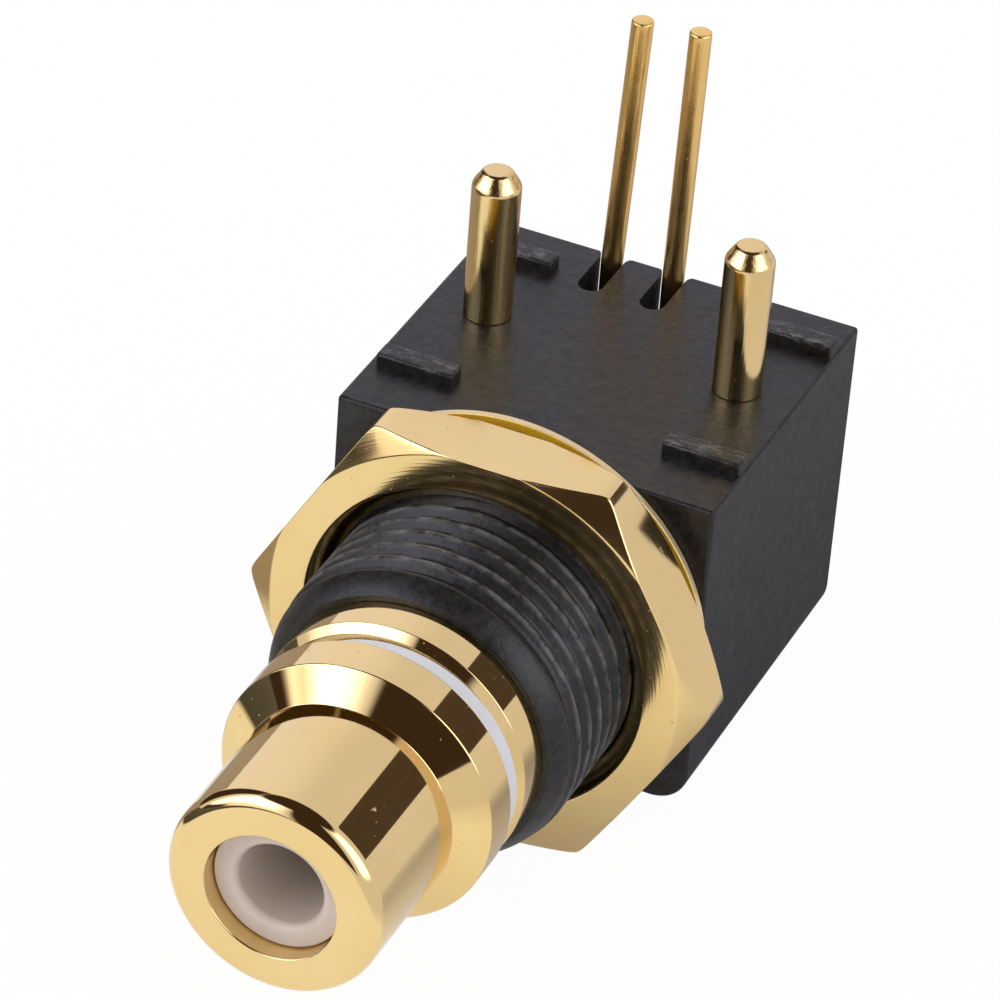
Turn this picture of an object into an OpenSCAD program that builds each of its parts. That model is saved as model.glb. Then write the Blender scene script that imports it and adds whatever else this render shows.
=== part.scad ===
// RCA socket for a circuit board, with a threaded nose for a panel.
// The origin is midway between the two pegs, where the board rests on the stand-offs.
// +Z runs along the pins, and the socket's mouth faces -Y.

/* [Housing block] */
// Width of the block, side to side
block_w = 15; // [14.6:0.1:17]
// Depth of the block, front to back
block_d = 14.1; // [13.9:0.1:17]
// Height of the block, bottom to top face
block_h = 13.3; // [12.8:0.05:16]
// Rounding of the two long bottom edges
foot_r = 1.4; // [0.8:0.1:2]
// Rounding of the block's other edges
edge_r = 0.15; // [0.1:0.05:0.4]
// Height of the socket's axis below the top face
axis_drop = 6.5; // [6.2:0.05:7]

/* [Stand-offs] */
// Length of each stand-off, side to side
standoff_l = 3.1; // [2:0.05:3.5]
// Width of each stand-off, front to back
standoff_w = 0.95; // [0.5:0.05:1.4]
// Height of the stand-offs above the top face
standoff_h = 0.5; // [0.3:0.05:1]
// Distance of the stand-offs from the block's sides
standoff_side = 0.2; // [0.2:0.05:0.6]
// How far the stand-offs lie to the right
standoff_shift = 0.1; // [0:0.05:0.1]
// Distance of the front pair from the block's front
standoff_front = 2.55; // [1:0.05:3.5]
// Distance of the rear pair from the block's rear
standoff_rear = 1.75; // [1:0.05:3]

/* [Nose] */
// Diameter of the nose over its thread
nose_d = 12.2; // [11.9:0.05:12.6]
// Length of the nose in front of the block
nose_l = 8.93; // [8.8:0.01:14]
// Length over which the nose rounds off at its front
nose_lead_l = 1.55; // [0.6:0.05:1.6]
// Radius of that rounding
nose_lead_r = 2.2; // [2.1:0.05:3]
// Pitch of the thread
thread_pitch = 0.9; // [0.8:0.05:1]
// Depth of the thread
thread_depth = 0.3; // [0.2:0.02:0.4]
// Width of the thread's crests
thread_crest = 0.14; // [0.1:0.02:0.2]
// Distance of the first crest behind the nose's front
thread_start = 1.55; // [1.5:0.05:2]
// Plain length left between the thread and the block
thread_end = 0.6; // [0.4:0.1:2]

/* [Outer shell] */
// Diameter of the barrel that the plug's collar grips
barrel_d = 8.2; // [8:0.05:8.4]
// Length of the barrel in front of the cone
barrel_l = 5.98; // [5:0.02:8]
// Length over which the barrel's lip rounds off
lip_l = 0.55; // [0.2:0.05:0.8]
// Radius of the lip's rounding
lip_r = 0.98; // [0.8:0.02:1.4]
// Length of the cone behind the barrel
cone_l = 0.79; // [0.4:0.01:1.4]
// Diameter of the collar behind the cone
collar_d = 10.54; // [10:0.02:10.8]
// Length of the collar
collar_l = 1.6; // [1:0.02:3]
// Bore of the shell
shell_bore_d = 5.04; // [4.9:0.02:5.3]
// Diameter of the shell's shank, inside the housing
shank_d = 8.4; // [7.8:0.05:8.5]
// Length of the shank that the housing grips
shank_grip = 13; // [11:0.1:14]

/* [Colour ring] */
// Width of the groove that holds the white ring
ring_w = 0.98; // [0.8:0.01:2]
// Outer diameter of the white ring
ring_d = 9.7; // [9.2:0.02:10]
// Play of the white ring round the shank
ring_play = 0.26; // [0.2:0.02:0.3]
// How far the white ring lies to the right
ring_shift = 0.24; // [0:0.02:0.24]

/* [Rear bush] */
// Outer diameter of the bush's flange
bush_d = 10.46; // [10.3:0.02:10.6]
// Diameter of the bush inside the nose
bush_seat_d = 10; // [9.6:0.05:10.1]
// Length of the flange, in front of the nose
bush_show = 1.72; // [0.8:0.02:2]
// Depth of the bush inside the nose
bush_depth = 2.4; // [1.5:0.1:4]
// Chamfer of the bush's front edge
bush_chamfer = 0.3; // [0.1:0.05:0.5]

/* [Insulators] */
// Depth of the front insulator behind the barrel's face
mouth_depth = 0.7; // [0.3:0.05:1.2]
// Entry hole for the plug's centre pin
entry_d = 3.26; // [3.24:0.02:3.6]
// Length of the entry hole
entry_l = 4; // [3:0.1:4.5]
// Rounding of the entry hole's edge
entry_edge_r = 0.3; // [0.1:0.05:0.5]
// Length of the rear insulator
rear_insulator_l = 4; // [3:0.1:6]

/* [Centre contact] */
// Bore that grips the plug's centre pin
contact_bore_d = 3.2; // [3.1:0.02:3.22]
// Wall of the contact's sprung fingers
contact_wall = 0.45; // [0.3:0.01:0.5]
// Length of the contact's sprung sleeve
contact_l = 9.6; // [8:0.1:12]
// Length of the saw cuts between the fingers
finger_l = 5.5; // [3:0.1:7]
// Width of the saw cuts
finger_cut = 0.4; // [0.3:0.02:0.5]
// Number of fingers
fingers = 4; // [4:2:4]
// Thickness of the contact's closed end
contact_end = 1.4; // [1:0.1:2]
// Diameter of the contact's solid rear end
contact_tail_d = 2.4; // [2.2:0.1:2.8]
// Length of the contact's solid rear end
contact_tail_l = 2.4; // [2:0.1:2.8]

/* [Nut and washer] */
// Width of the nut across its flats
nut_af = 16.1; // [15:0.1:17]
// Thickness of the nut
nut_t = 2.7; // [2:0.05:4]
// Diameter of the countersink in the nut's front
nut_sink_d = 13.6; // [12.8:0.1:14.2]
// Diameter where the corner chamfers meet the nut's two faces
nut_face_d = 16.3; // [16.2:0.1:16.6]
// Slope of the front corner chamfer, in degrees
nut_slope = 28; // [20:1:35]
// Slope of the rear corner chamfer, in degrees
nut_back_slope = 36; // [20:1:40]
// Open space between the nut and the washer
nut_gap = 0.62; // [0.1:0.02:1]
// Width of the washer's ring, from its hole to its rim
washer_w = 1.45; // [1:0.05:2.5]
// Radial clearance between the nose and the washer's hole
washer_play = 0.35; // [0.3:0.05:0.7]
// Thickness of the washer
washer_t = 0.3; // [0.2:0.05:1]
// How far the washer lies above the axis
washer_rise = 0.1; // [0:0.02:0.1]
// How far the washer lies to the left of the axis
washer_shift = 0.14; // [0:0.02:0.14]
// Space for the panel, between the block and the washer
panel_gap = 0.02; // [0.02:0.02:4]

/* [Board pegs] */
// Diameter of the pegs
peg_d = 1.88; // [1.5:0.02:2]
// Distance between the pegs
peg_pitch = 10.16; // [10:0.02:10.4]
// Distance of the pegs behind the block's front
peg_back = 7.89; // [6.5:0.01:8.5]
// Height of the pegs above the board seat
peg_h = 5.75; // [3:0.05:8]
// Height of the chamfer at the pegs' tips
peg_tip_h = 0.6; // [0.3:0.02:1]
// Diameter of the flat at the pegs' tips
peg_tip_d = 1.1; // [0.6:0.02:1.3]
// Diameter of the pegs' roots, inside the block
peg_root_d = 1.4; // [1:0.05:1.4]
// Depth of the pegs' roots below the top face
peg_depth = 4; // [2.5:0.1:4.5]

/* [Tails] */
// Diameter of the two tails
tail_d = 0.85; // [0.6:0.01:0.86]
// Distance between the tails' slots
tail_pitch = 2.54; // [2.44:0.01:2.64]
// Distance of the signal slot to the right of the axis
slot_shift = 0.05; // [0:0.01:0.1]
// Distance of the tails in front of the block's rear
tail_back = 0.44; // [0.43:0.01:0.8]
// Width of the slots that the tails stand in
slot_w = 1; // [0.99:0.01:1.2]
// Depth of the slots in front of the block's rear
slot_d = 2.93; // [2.3:0.01:3.5]
// Rounding of the slots' mouths
slot_mouth_r = 0.45; // [0.1:0.05:0.5]
// Height of the signal tail above the board seat
signal_h = 10.35; // [6:0.05:12]
// Height of the ground tail above the board seat
ground_h = 10.15; // [6:0.05:12]
// Lean of the signal tail above the block, in degrees
signal_lean = 0.8; // [0:0.1:2]
// Lean of the ground tail above the block, in degrees
ground_lean = 2; // [0:0.1:2]
// Height of the ground tail's root above the axis
ground_rise = 2.4; // [2.3:0.05:2.5]
// Radius of the tails' bends, at their centre line
bend_r = 0.9; // [0.6:0.05:1]
// Depth of each tail in the contact or shell that it is fixed to
tail_grip = 1.8; // [1.2:0.1:2.2]

/* [Clearances] */
// Radial clearance of the pressed and bonded seats
seat_gap = 0.02; // [0.01:0.01:0.03]
// Radial clearance of the nut's thread
thread_gap = 0.04; // [0.02:0.01:0.08]
// Clearance between faces that only lie together
face_gap = 0.03; // [0.02:0.01:0.05]
// Radial clearance of the bush in the nose's mouth
mouth_gap = 0.06; // [0.04:0.01:0.1]

/* [Hidden] */
$fn = 96;

// Small overlap of a cutting solid past the face that it cuts
past = 0.5;

// Heights
top_z = -standoff_h;
axis_z = top_z - axis_drop;
bottom_z = top_z - block_h;

// Places along the socket, from the block forwards to the barrel's face
block_front = -peg_back;
block_rear = block_front + block_d;
nose_y = block_front - nose_l;
bush_y = nose_y - bush_show;
collar_back_y = bush_y - ring_w;
collar_y = collar_back_y - collar_l;
cone_y = collar_y - cone_l;
face_y = cone_y - barrel_l;
shank_end_y = nose_y + shank_grip;

// Places along the shell, from its face back
cone_end = barrel_l + cone_l;
collar_end = cone_end + collar_l;
shell_l = collar_end + ring_w + bush_show + shank_grip;

// Places of the inner pieces
mouth_y = face_y + mouth_depth;
contact_y = mouth_y + entry_l;
contact_end_y = contact_y + contact_l;
contact_tail_y = contact_end_y + contact_tail_l;
rear_insulator_y = contact_end_y + face_gap;

// Places of the nut and the washer
washer_y = block_front - panel_gap - washer_t;
nut_y = washer_y - nut_gap - nut_t;

// Radii that the pieces share
shell_bore_r = shell_bore_d / 2;
shank_r = shank_d / 2;
insulator_r = shell_bore_r - seat_gap;
contact_r = contact_bore_d / 2 + contact_wall;
nose_bore_r = shank_r + seat_gap;
nose_mouth_r = bush_seat_d / 2 + mouth_gap;
tail_r = tail_d / 2;

// Tails
tail_y = block_rear - tail_back;
slot_end_y = block_rear - slot_d;
signal_x = slot_shift;
ground_x = slot_shift - tail_pitch;
ground_z = axis_z + ground_rise;

GOLD = [0.86, 0.72, 0.42];
BLACK = [0.11, 0.11, 0.12];
WHITE = [0.90, 0.90, 0.93];
MILKY = [0.80, 0.74, 0.70];

// Puts a shape that is drawn round +Z onto the socket's axis, starting at y
module on_axis(y) {
  translate([0, y, axis_z]) rotate([-90, 0, 0]) children();
}

// Straight tube or rod on the socket's axis
module turned(y, length, outer_r, inner_r = 0) {
  on_axis(y)
    rotate_extrude()
      translate([inner_r, 0]) square([outer_r - inner_r, length]);
}

// Rectangle centred in x whose bottom and top corners have their own radii
module rounded_rect(w, h, bottom_r, corner_r) {
  translate([-w / 2, bottom_r]) square([w, h - bottom_r - corner_r]);
  translate([-w / 2 + bottom_r, 0]) square([w - 2 * bottom_r, bottom_r]);
  translate([-w / 2 + corner_r, h - corner_r]) square([w - 2 * corner_r, corner_r]);
  for (side = [-1, 1]) {
    translate([side * (w / 2 - bottom_r), bottom_r]) circle(bottom_r);
    translate([side * (w / 2 - corner_r), h - corner_r]) circle(corner_r);
  }
}

// Block with rounded edges: its outlines from the front, from above and from the side meet
module block() {
  intersection() {
    translate([0, block_rear, bottom_z])
      rotate([90, 0, 0])
        linear_extrude(block_d) rounded_rect(block_w, block_h, foot_r, edge_r);
    translate([0, block_front, bottom_z])
      linear_extrude(block_h) rounded_rect(block_w, block_d, edge_r, edge_r);
    translate([-block_w / 2, (block_front + block_rear) / 2, bottom_z])
      rotate([90, 0, 90])
        linear_extrude(block_w) rounded_rect(block_d, block_h, edge_r, edge_r);
  }
}

// Four bars that carry the board, one near each corner of the top face
module standoffs() {
  x = block_w / 2 - standoff_side - standoff_l;
  for (side = [-1, 1], y = [block_front + standoff_front, block_rear - standoff_rear - standoff_w])
    translate([standoff_shift + (side > 0 ? x : -x - standoff_l), y, top_z - standoff_h])
      cube([standoff_l, standoff_w, 2 * standoff_h]);
}

// Half outline of a round end that narrows along an arc, over its first length
module rounded_end(end_r, length, arc_r) {
  intersection() {
    translate([end_r - arc_r, length]) circle(arc_r);
    square([end_r, length]);
  }
  square([end_r - arc_r, length]);
}

// Nose with its rounded front and the grooves of its thread, drawn as rings without the lead
module nose() {
  nose_r = nose_d / 2;
  root = past;
  turns = floor((nose_l - thread_start - thread_end) / thread_pitch);
  on_axis(nose_y)
    rotate_extrude()
      difference() {
        union() {
          rounded_end(nose_r, nose_lead_l, nose_lead_r);
          translate([0, nose_lead_l]) square([nose_r, nose_l - nose_lead_l + root]);
        }
        for (turn = [0 : turns - 1])
          translate([nose_r, thread_start + (turn + 0.5) * thread_pitch]) thread_groove();
      }
}

// Section of one groove, with its mouth at the nose's outer diameter
module thread_groove() {
  half = (thread_pitch - thread_crest) / 2;
  polygon([[-thread_depth, 0], [0, -half], [past, -half], [past, half], [0, half]]);
}

// Outline of a tail slot seen from above, with rounded mouth corners
module slot_outline() {
  length = slot_d - slot_w / 2;
  circle(slot_w / 2);
  translate([-slot_w / 2, 0]) square([slot_w, length + past]);
  difference() {
    translate([-slot_w / 2 - slot_mouth_r, length - slot_mouth_r])
      square([slot_w + 2 * slot_mouth_r, slot_mouth_r + past]);
    for (side = [-1, 1])
      translate([side * (slot_w / 2 + slot_mouth_r), length - slot_mouth_r]) circle(slot_mouth_r);
  }
}

// Slot for a tail, open at the top and the rear, down to just below the tail's root
module slot(x, root_z) {
  floor_z = root_z - slot_w / 2;
  translate([x, slot_end_y + slot_w / 2, floor_z])
    linear_extrude(top_z - floor_z + past) slot_outline();
}

// Hole for a tail, from the bore to the slot
module tail_hole(x, z) {
  translate([x, shank_end_y - past, z])
    rotate([-90, 0, 0])
      cylinder(r = tail_r + seat_gap, h = slot_end_y + slot_w / 2 - shank_end_y + past);
}

// Black moulding: block, stand-offs and threaded nose in one piece
module housing() {
  color(BLACK)
    difference() {
      union() {
        block();
        standoffs();
        nose();
      }
      turned(nose_y - past, shank_grip + face_gap + past, nose_bore_r);
      turned(nose_y - past, bush_depth + face_gap + past, nose_mouth_r);
      slot(signal_x, axis_z);
      slot(ground_x, ground_z);
      tail_hole(signal_x, axis_z);
      tail_hole(ground_x, ground_z);
      for (side = [-1, 1])
        translate([side * peg_pitch / 2, 0, top_z - peg_depth - seat_gap])
          cylinder(r = peg_root_d / 2 + seat_gap, h = peg_depth + seat_gap + past);
    }
}

// Turned sleeve contact: barrel with a rounded lip, cone, collar and shank
module outer_shell() {
  barrel_r = barrel_d / 2;
  collar_r = collar_d / 2;
  color(GOLD)
    difference() {
      on_axis(face_y)
        rotate_extrude() {
          rounded_end(barrel_r, lip_l, lip_r);
          polygon([
            [0, lip_l], [barrel_r, lip_l], [barrel_r, barrel_l], [collar_r, cone_end],
            [collar_r, collar_end], [shank_r, collar_end], [shank_r, shell_l], [0, shell_l]
          ]);
        }
      turned(face_y - past, shell_l + 2 * past, shell_bore_r);
      tail_seat(ground_x, ground_z, shank_end_y);
    }
}

// Blind hole that grips a tail, open at y towards the rear
module tail_seat(x, z, y) {
  translate([x, y - tail_grip - seat_gap, z])
    rotate([-90, 0, 0]) cylinder(r = tail_r + seat_gap, h = tail_grip + seat_gap + past);
}

// White ring that marks the channel, loose in its groove and lying to the right
module colour_ring() {
  color(WHITE)
    translate([ring_shift, 0, 0])
      turned(collar_back_y + face_gap, ring_w - 2 * face_gap, ring_d / 2, shank_r + ring_play);
}

// Turned bush that lines the nose's mouth, with a flange that backs the white ring
module rear_bush() {
  bush_r = bush_d / 2;
  length = bush_show + bush_depth;
  color(GOLD)
    difference() {
      on_axis(bush_y)
        union() {
          cylinder(r1 = bush_r - bush_chamfer, r2 = bush_r, h = bush_chamfer);
          translate([0, 0, bush_chamfer]) cylinder(r = bush_r, h = bush_show - bush_chamfer);
          cylinder(d = bush_seat_d, h = length);
        }
      turned(bush_y - past, length + 2 * past, shank_r + seat_gap);
    }
}

// Milky insulator in the barrel, with the entry hole and the contact's chamber
module front_insulator() {
  entry_r = entry_d / 2;
  length = contact_end_y - mouth_y;
  color(MILKY)
    on_axis(mouth_y)
      rotate_extrude()
        difference() {
          square([insulator_r, length]);
          translate([0, -past]) square([entry_r, length + 2 * past]);
          translate([0, entry_l]) square([contact_r + seat_gap, length]);
          difference() {
            square([entry_r + entry_edge_r, entry_edge_r]);
            translate([entry_r + entry_edge_r, entry_edge_r]) circle(entry_edge_r);
          }
        }
}

// Insulator that centres the contact's rear end in the shell
module rear_insulator() {
  color(MILKY)
    turned(rear_insulator_y, rear_insulator_l, insulator_r, contact_tail_d / 2 + seat_gap);
}

// Sprung sleeve for the plug's centre pin, sawn into fingers, with a solid rear end
module centre_contact() {
  bore_l = contact_l - contact_end;
  color(GOLD)
    difference() {
      union() {
        turned(contact_y + face_gap, contact_l - face_gap, contact_r);
        turned(contact_end_y - past, contact_tail_l + past, contact_tail_d / 2);
      }
      turned(contact_y - past, bore_l + past, contact_bore_d / 2);
      on_axis(contact_y - past)
        for (cut = [0 : fingers / 2 - 1])
          rotate([0, 0, 45 + cut * 360 / fingers])
            translate([-contact_r - past, -finger_cut / 2, 0])
              cube([2 * (contact_r + past), finger_cut, finger_l + past]);
      tail_seat(signal_x, axis_z, contact_tail_y);
    }
}

// Hexagon nut with both sides' corners chamfered and a countersunk thread
module panel_nut() {
  corner_r = nut_af / sqrt(3);
  thread_r = nose_d / 2 + thread_gap;
  sink = nut_sink_d / 2 - thread_r;
  face_r = nut_face_d / 2;
  color(GOLD)
    difference() {
      on_axis(nut_y)
        intersection() {
          cylinder(r = corner_r, h = nut_t, $fn = 6);
          cylinder(r1 = face_r, r2 = face_r + nut_t / tan(nut_slope), h = nut_t);
          cylinder(r1 = face_r + nut_t / tan(nut_back_slope), r2 = face_r, h = nut_t);
        }
      turned(nut_y - past, nut_t + 2 * past, thread_r);
      on_axis(nut_y) cylinder(r1 = nut_sink_d / 2, r2 = thread_r, h = sink);
    }
}

// Flat washer against the block, lying a little above and beside the axis
module washer() {
  hole_r = nose_d / 2 + washer_play;
  color(GOLD)
    translate([-washer_shift, 0, washer_rise])
      turned(washer_y, washer_t, hole_r + washer_w, hole_r);
}

// Thick peg with a chamfered tip, its shoulder on the block and its root pressed in
module peg(side) {
  straight = standoff_h + peg_h - peg_tip_h;
  color(GOLD)
    translate([side * peg_pitch / 2, 0, top_z]) {
      translate([0, 0, -peg_depth]) cylinder(d = peg_root_d, h = peg_depth);
      cylinder(d = peg_d, h = straight);
      translate([0, 0, straight]) cylinder(d1 = peg_d, d2 = peg_tip_d, h = peg_tip_h);
    }
}

module left_peg() {
  peg(-1);
}

module right_peg() {
  peg(1);
}

// Round wire that runs back from its seat and bends up through its slot, leaning above the block
module tail(x, z, seat_y, tip_z, lean) {
  run = tail_y - bend_r - seat_y;
  root = 2 * past;
  color(GOLD) {
    translate([x, seat_y, z]) {
      rotate([-90, 0, 0]) cylinder(r = tail_r, h = run);
      translate([0, run, bend_r])
        rotate([0, -90, 0])
          rotate([0, 0, 180])
            rotate_extrude(angle = -90) translate([bend_r, 0]) circle(tail_r);
      translate([0, run + bend_r, bend_r]) cylinder(r = tail_r, h = top_z - z - bend_r);
    }
    translate([x, tail_y, top_z])
      rotate([0, lean, 0])
        translate([0, 0, -root]) cylinder(r = tail_r, h = root + (tip_z - top_z) / cos(lean));
  }
}

module signal_tail() {
  tail(signal_x, axis_z, contact_tail_y - tail_grip, signal_h, signal_lean);
}

module ground_tail() {
  tail(ground_x, ground_z, shank_end_y - tail_grip, ground_h, ground_lean);
}

housing();
outer_shell();
colour_ring();
rear_bush();
front_insulator();
rear_insulator();
centre_contact();
panel_nut();
washer();
left_peg();
right_peg();
signal_tail();
ground_tail();
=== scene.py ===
"""Looks of the socket: detailed pieces, materials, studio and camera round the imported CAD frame.

Lengths are metres in the frame of the CAD part: +Z along the pins, the socket's mouth towards -Y.
Directions are in degrees: azimuth 0 is the front and 90 the right, elevation 90 is straight up.
"""

import math

import bmesh
import bpy
from mathutils import Matrix, Vector


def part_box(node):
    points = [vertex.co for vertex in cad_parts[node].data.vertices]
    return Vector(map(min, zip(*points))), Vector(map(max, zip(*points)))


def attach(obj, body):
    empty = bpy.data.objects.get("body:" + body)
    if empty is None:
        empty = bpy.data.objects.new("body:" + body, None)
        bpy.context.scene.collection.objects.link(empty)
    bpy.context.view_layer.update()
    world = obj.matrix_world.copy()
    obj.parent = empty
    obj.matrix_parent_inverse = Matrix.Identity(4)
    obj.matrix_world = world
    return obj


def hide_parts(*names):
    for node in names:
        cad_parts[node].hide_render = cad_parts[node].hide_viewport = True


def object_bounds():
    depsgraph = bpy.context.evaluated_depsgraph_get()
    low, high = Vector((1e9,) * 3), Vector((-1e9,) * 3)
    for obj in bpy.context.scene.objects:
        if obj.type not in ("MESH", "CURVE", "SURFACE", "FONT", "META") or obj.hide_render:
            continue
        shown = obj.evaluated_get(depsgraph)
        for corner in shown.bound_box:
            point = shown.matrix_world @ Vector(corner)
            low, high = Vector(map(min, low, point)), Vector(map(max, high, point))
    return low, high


MM = 0.001

# Camera: direction of view, roll, distance, and its aim from the middle of the mouth
CAMERA_AZIMUTH = 22.041
CAMERA_ELEVATION = 34.773
CAMERA_ROLL = -4.523
CAMERA_DISTANCE = 195.7 * MM
CAMERA_AIM_RIGHT = 7.88 * MM
CAMERA_AIM_UP = 13.61 * MM
CAMERA_LENS = 206.27
CAMERA_SENSOR = 36
CAMERA_NEAR = 0.01
CAMERA_FAR = 20

# Turned pieces
LATHE_SEGMENTS = 192
PEG_SEGMENTS = 96
ARC_STEP = math.radians(12)
QUARTER = math.pi / 2
NO_BEND = 1e-6
NO_LENGTH = 1e-9
ROUNDING_ROOM = 0.49
OUTLINE_ROOM = 0.45
NORMAL_WEIGHT = 60
TINY_EDGE = 0.03 * MM
FINE_EDGE = 0.05 * MM
SOFT_EDGE = 0.06 * MM
RING_EDGE = 0.08 * MM

# Outer shell
BARREL_R = 4.1 * MM
BARREL_LENGTH = 5.98 * MM
LIP_R = 0.62 * MM
CONE_LENGTH = 0.79 * MM
COLLAR_LENGTH = 1.6 * MM
SHELL_BORE_R = 2.52 * MM
SHANK_R = 4.2 * MM

# Insulator in the mouth
ENTRY_R = 1.63 * MM
ENTRY_LENGTH = 4.0 * MM
ENTRY_EDGE = 0.3 * MM
INSULATOR_EDGE = 0.1 * MM
CHAMBER_R = 2.07 * MM

# Ring and bush behind the collar
RING_HOLE_R = 4.46 * MM
BUSH_HOLE_R = 4.22 * MM
BUSH_CHAMFER = 0.3 * MM
BUSH_FLANGE = 1.72 * MM
BUSH_SEAT_R = 5.0 * MM

# Nose and its thread
NOSE_R = 6.1 * MM
NOSE_BORE_R = 5.06 * MM
NOSE_LEAD_LENGTH = 1.55 * MM
NOSE_LEAD_R = 2.2 * MM
NOSE_MOUTH_DEPTH = 2.4 * MM
NOSE_MOUTH_EDGE = 0.1 * MM
NOSE_MOUTH_STEPS = 4
NOSE_ROOT = 0.3 * MM
NOSE_MARGIN = 0.02 * MM
THREAD_PITCH = 0.9 * MM
THREAD_DEPTH = 0.3 * MM
THREAD_START = 0.75 * MM
THREAD_RUN_IN = 0.54 * MM
THREAD_PHASE = 0.42
THREAD_ROOT_SHARE = 0.15
THREAD_SLOPE_SHARE = 0.7
THREAD_STEPS = 14
THREAD_SEGMENTS = 224

# Nut and washer
NUT_FACE_R = 8.15 * MM
NUT_THREAD_R = 6.14 * MM
NUT_SINK_R = 6.8 * MM
NUT_SLOPE = math.radians(28)
NUT_BACK_SLOPE = math.radians(36)
NUT_EDGE = 0.07 * MM
NUT_CORNER_EDGE = 0.06 * MM
NUT_CORNER_BLEND = 12 / MM
NUT_LEAST_DROP = 0.01 * MM
NUT_FACE_INSET = 0.02 * MM
NUT_SEGMENTS = 720
WASHER_HOLE_R = 6.45 * MM
RIM_INSET = 0.01 * MM

# Block, its stand-offs and slots
FOOT_R = 1.4 * MM
FOOT_STEPS = 12
BLOCK_EDGE = 0.15 * MM
BLOCK_EDGE_STEPS = 4
BLOCK_DEPTH = 14.1 * MM
STANDOFF_HEIGHT = 0.5 * MM
STANDOFF_LENGTH = 3.1 * MM
STANDOFF_WIDTH = 0.95 * MM
STANDOFF_SIDE = 0.2 * MM
STANDOFF_SHIFT = 0.1 * MM
STANDOFF_FRONT = 2.55 * MM
STANDOFF_REAR = 1.75 * MM
STANDOFF_EDGE = 0.12 * MM
STANDOFF_EDGE_STEPS = 3
SLOT_WIDTH = 1.0 * MM
SLOT_DEPTH = 2.93 * MM
SLOT_END_STEPS = 16
SLOT_MOUTH_R = 0.45 * MM
SLOT_MOUTH_STEPS = 6
PAST = 1 * MM
SHARP_EDGE = math.radians(40)
SHADED_EDGE = math.radians(35)

# Pins
PEG_ROOT_R = 0.7 * MM
PEG_ROOT_DEPTH = 4.0 * MM
PEG_TIP_HEIGHT = 0.6 * MM
PEG_TIP_R = 0.55 * MM
PEG_SHOULDER_EDGE = 0.4 * MM
PEG_TIP_EDGE = 0.24 * MM
TAIL_R = 0.425 * MM
TAIL_BEND_R = 0.9 * MM
TAIL_BEND_STEPS = 12
TAIL_TIP_EDGE = 0.09 * MM
TAIL_TIP_STEPS = 4
TAIL_RINGS_ABOVE = (0.03, 0.1, 0.25, 0.4, 0.55, 0.7, 0.85, 0.97)
TAIL_SEGMENTS = 48
SIGNAL_X = 0.05 * MM
SIGNAL_LEAN = math.radians(0.8)
GROUND_X = -2.49 * MM
GROUND_LEAN = math.radians(2)

# Gold: colours, and the scales per metre of its clouds, smudges, dust, grain and tool marks
GOLD = (0.86, 0.64, 0.29)
WIRE_GOLD = (0.96, 0.64, 0.22)
# Washer faces: a saturated yellow that, with less metal, paints the gleam of light bouncing between nut
# and washer; the rim is the plain gold.
WASHER_FACE_PAINTED_GLEAM = (1.0, 0.66, 0.05)
WASHER_RIM = (0.86, 0.68, 0.40)
GOLD_PALER = (1.02, 1.03, 1.06)
GOLD_DEEPER = (0.98, 0.96, 0.92)
RIM_TO_FACE = (0.6, 0.9)
CLOUDS = 260
SMUDGES = 700
SMUDGE_SPREAD = (0.6, 1.5)
DUST = 3800
DUST_SPECKS = (0.71, 0.78)
DUST_ROUGHNESS = 0.45
GRAIN = 5200
GRAIN_DEPTH = 0.00025 * MM
TOOL_MARKS = 9000
DRAWN_STREAKS = (9000, 9000, 160)

# Black plastic: colours, and the scales per metre of its patches, wear, scuffs, gloss and grain
BLACK_DEEP = (0.005, 0.0047, 0.0045)
BLACK_PALE = (0.026, 0.024, 0.022)
BLACK_WORN = (0.12, 0.117, 0.12)
BLACK_SPECULAR = 0.38
PATCHES = 2600
WEAR = 1500
WEAR_BREAKS = (0.38, 0.6)
WORN_CREST = 0.1 * MM
SCUFFS = (1100, 2600, 2600)
SCUFF_BREAKS = (0.5, 0.62)
SCUFF_START = 0.3 * MM
GLOSS_PATCHES = 1700
BLACK_ROUGHNESS = (0.18, 0.46)
SIDE_SHARPNESS = 4
SIDE_ROUGHNESS = 0.2
NOSE_ROUGHNESS = 0.05
COARSE_GRAIN = 2600
COARSE_DEPTH = 0.03 * MM
FINE_GRAIN = 9000
FINE_DEPTH = 0.01 * MM

# Pale plastics: colours, and the scales per metre of their mottling and grain
RING_WHITE = (0.80, 0.80, 0.86)
MILKY = (0.69, 0.60, 0.545)
MOTTLE = 500
MOTTLE_DEEPER = 0.94
PALE_GRAIN = 7000
PALE_GRAIN_DEPTH = 0.003 * MM
MILKY_RADIUS = (1.0, 0.7, 0.6)
MILKY_DEPTH = 0.5 * MM

# World: light on things, and what polished metal mirrors
WHITE = (1.0, 1.0, 1.0)
WORLD_LIGHT = 0.85
MIRRORED_SKY = (0.78, 0.77, 0.87)
MIRRORED_DARK = (0.045, 0.028, 0.019)
MIRRORED_HAZE = (0.93, 0.92, 1.06)
MIRRORED_WINDOW = (3.0, 3.0, 3.6)
MIRRORED_WINDOW_FOOT = (1.35, 1.25, 1.25)
MIRRORED_RIGHT_WINDOW = (2.8, 2.8, 3.0)
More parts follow.
